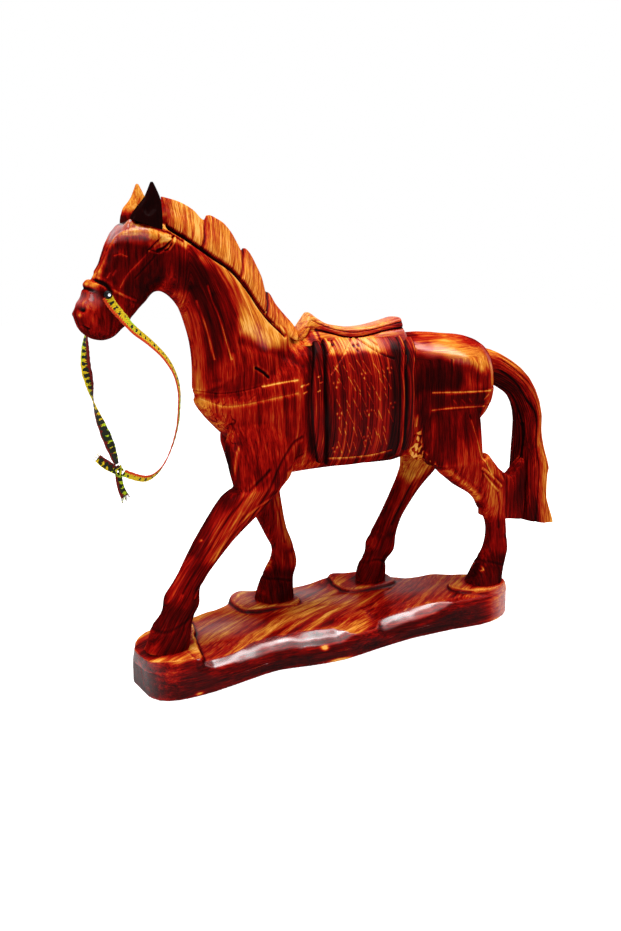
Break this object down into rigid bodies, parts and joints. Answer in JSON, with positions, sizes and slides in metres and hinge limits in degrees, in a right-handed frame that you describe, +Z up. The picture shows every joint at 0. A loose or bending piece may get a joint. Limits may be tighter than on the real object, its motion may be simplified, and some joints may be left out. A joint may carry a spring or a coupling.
{
  "type": "wooden horse statue",
  "caption": "Carved, varnished wooden horse walking on a plank base, with saddle, mane and tail glued and doweled on and a woven ribbon rein that swings from tacks at the mouth.",
  "frame": {"origin": "middle of the plank base's underside", "axes": "+Z up, the head points to -X, the horse's left side is -Y"},
  "size_m": [0.3767, 0.0968, 0.3008],
  "materials": {
    "dark_wood": "dark maroon stain under gloss varnish",
    "red_wood": "red-brown stain under gloss varnish",
    "gold_wood": "amber stain under gloss varnish",
    "peg_wood": "plain",
    "steel": "polished",
    "ribbon": "woven"
  },
  "bodies": {
    "statue": {"base": "dark_wood", "torso": "red_wood", "neck_and_head": "red_wood", "mane": "gold_wood", "left_ear": "dark_wood", "right_ear": "gold_wood", "left_foreleg": "red_wood", "right_foreleg": "red_wood", "left_hind_leg": "red_wood", "right_hind_leg": "red_wood", "tail": "gold_wood", "saddle_seat": "gold_wood", "left_saddle_flap": "red_wood", "right_saddle_flap": "red_wood", "hoof_dowels": "peg_wood", "leg_dowels": "peg_wood", "neck_dowels": "peg_wood", "tail_dowel": "peg_wood", "saddle_dowels": "peg_wood", "ear_pegs": "peg_wood", "left_rein_tack": "steel", "right_rein_tack": "steel"},
    "rein": {"left_rein": "ribbon", "right_rein": "ribbon", "rein_knot": "ribbon"}
  },
  "joints": [
    {"name": "rein_swing", "type": "hinge", "parent": "statue", "child": "rein", "pos_m": [-0.15146, 0, 0.23794], "axis": [0, 1, 0], "range_deg": [-8, 60]}
  ]
}
